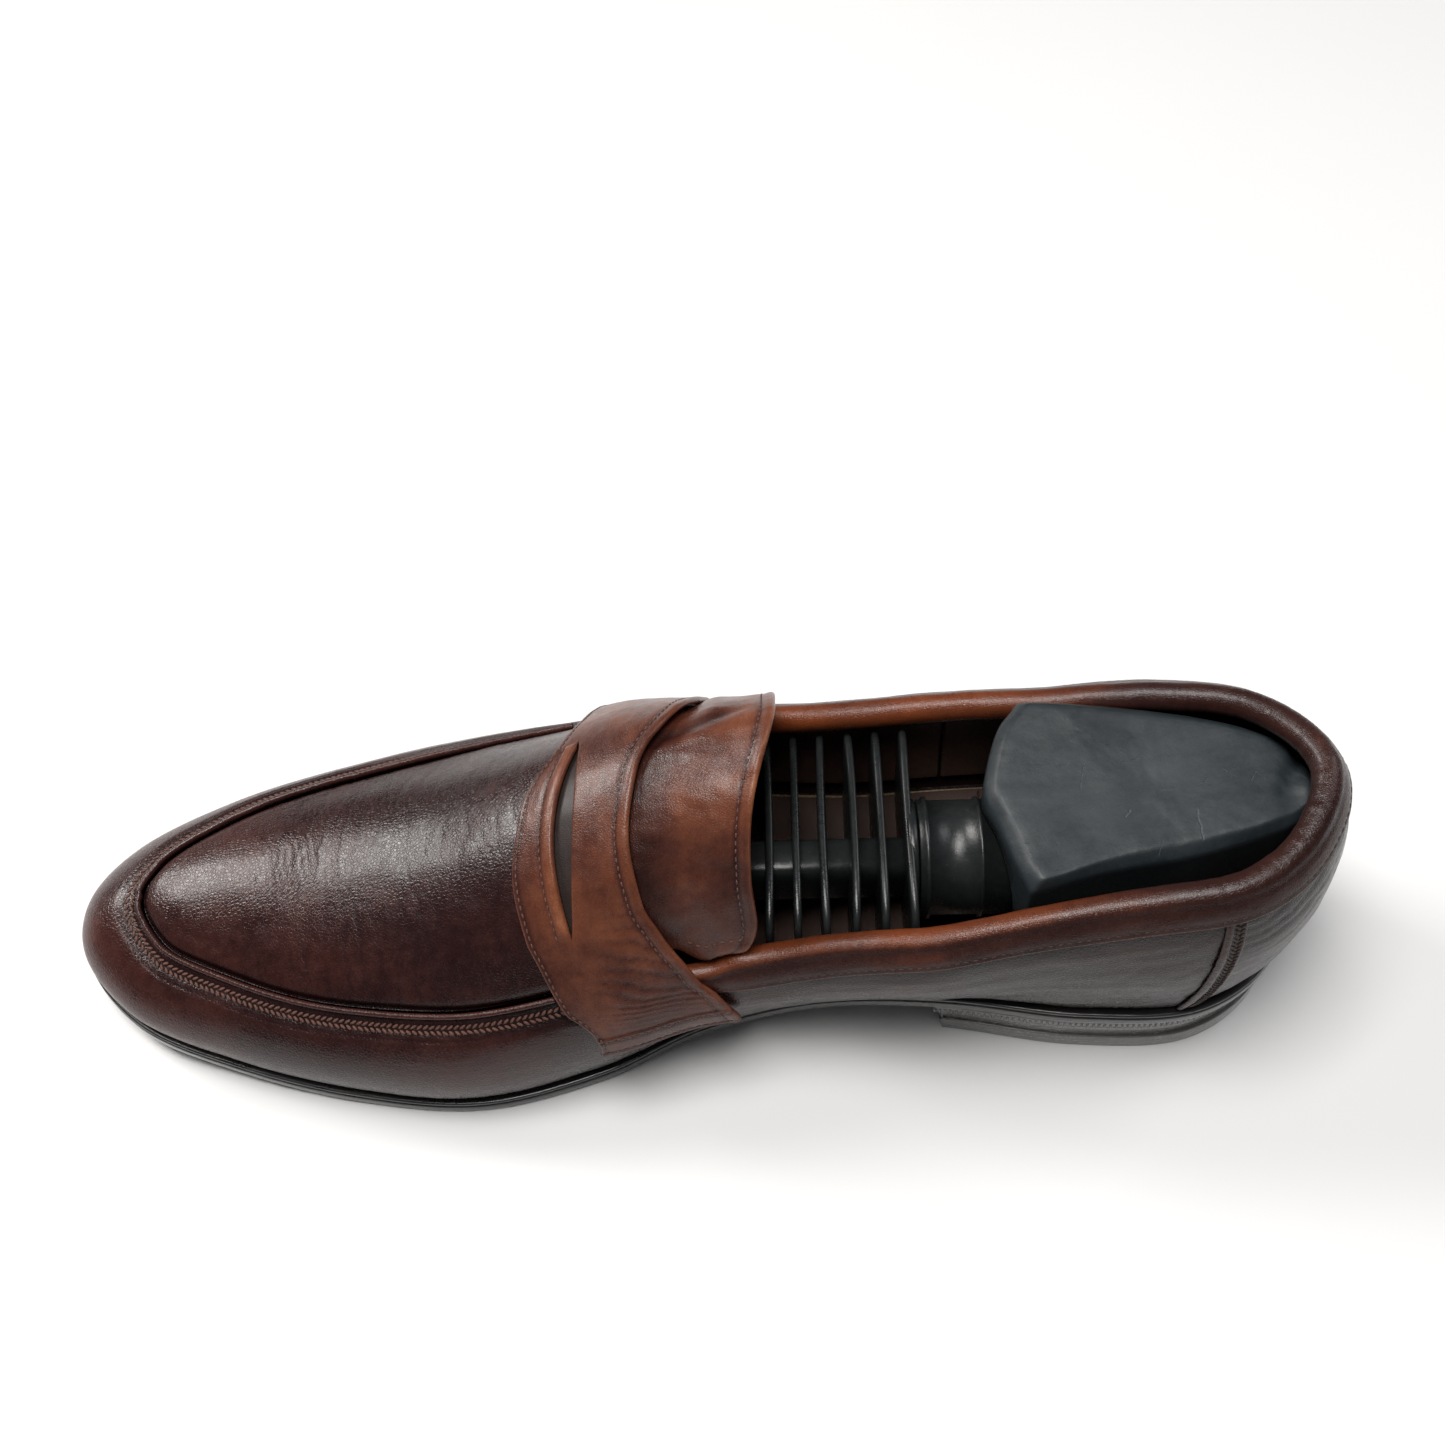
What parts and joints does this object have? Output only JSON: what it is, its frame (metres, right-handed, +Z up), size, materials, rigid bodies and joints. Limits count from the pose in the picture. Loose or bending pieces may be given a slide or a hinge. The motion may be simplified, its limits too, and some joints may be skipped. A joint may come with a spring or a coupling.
{
  "type": "penny loafer",
  "caption": "Right penny loafer with apron seam, slit saddle strap, tongue, folded collar, leather-look sole and stacked heel, holding a sprung plastic shoe tree.",
  "frame": {"origin": "centre of the plan box at the ground, under the middle of the sole", "axes": "+X towards the heel, toe towards -X; +Y towards the outer (lateral) side; +Z up"},
  "size_m": [0.2964, 0.0936, 0.0794],
  "materials": {
    "vamp": "burnished dark red-brown pebbled leather, satin",
    "quarter": "brown fine-grain leather with soft wrinkles, satin",
    "strap": "warm brown smooth leather, satin, darker stitched edges",
    "collar": "cognac folded leather edge, satin",
    "lining": "dark brown lining leather, matt",
    "board": "pressed fibre board, matt",
    "cork": "granulated cork, matt",
    "sole": "black edge-inked sole leather, satin",
    "rubber": "black rubber, matt",
    "steel": "plain steel",
    "tree_plastic": "charcoal black moulded plastic with pale scratches"
  },
  "bodies": {
    "shoe": {"heel_top_piece": "rubber", "heel_block": "sole", "outsole": "sole", "rand": "sole", "cork_filler": "cork", "shank": "steel", "insole_board": "board", "sock_lining": "lining", "heel_pad": "lining", "vamp": "vamp", "quarter_medial": "quarter", "quarter_lateral": "quarter", "heel_counter_panel": "quarter", "counter_seam_strip_medial": "quarter", "counter_seam_strip_lateral": "quarter", "apron": "vamp", "apron_piping": "vamp", "collar_binding": "collar", "saddle_strap": "strap", "slit_backing": "lining", "tongue_root": "strap", "toe_puff": "board", "counter_stiffener": "board", "vamp_lining": "lining", "plug_lining": "lining", "quarter_lining_medial": "lining", "quarter_lining_lateral": "lining", "heel_lining": "lining", "tree_toe_form": "tree_plastic", "tree_neck": "tree_plastic", "tree_spring": "steel", "heel_nail_1": "steel", "heel_nail_2": "steel", "heel_nail_3": "steel", "heel_nail_4": "steel", "heel_nail_5": "steel"},
    "tongue": {"tongue_flap": "strap"},
    "tree_heel": {"tree_heel_block": "tree_plastic", "tree_plunger": "steel"}
  },
  "joints": [
    {"name": "tongue_lift", "type": "hinge", "parent": "shoe", "child": "tongue", "pos_m": [-0.008, 0, 0.07], "axis": [0, -1, 0], "range_deg": [0, 10], "stiffness_Nm_per_rad": 0.12},
    {"name": "tree_spring_slide", "type": "slide", "parent": "shoe", "child": "tree_heel", "axis": [-1, 0, 0], "range_m": [0, 0.011], "stiffness_N_per_m": 900, "springref_m": -0.006, "deforming": ["tree_spring"]}
  ]
}
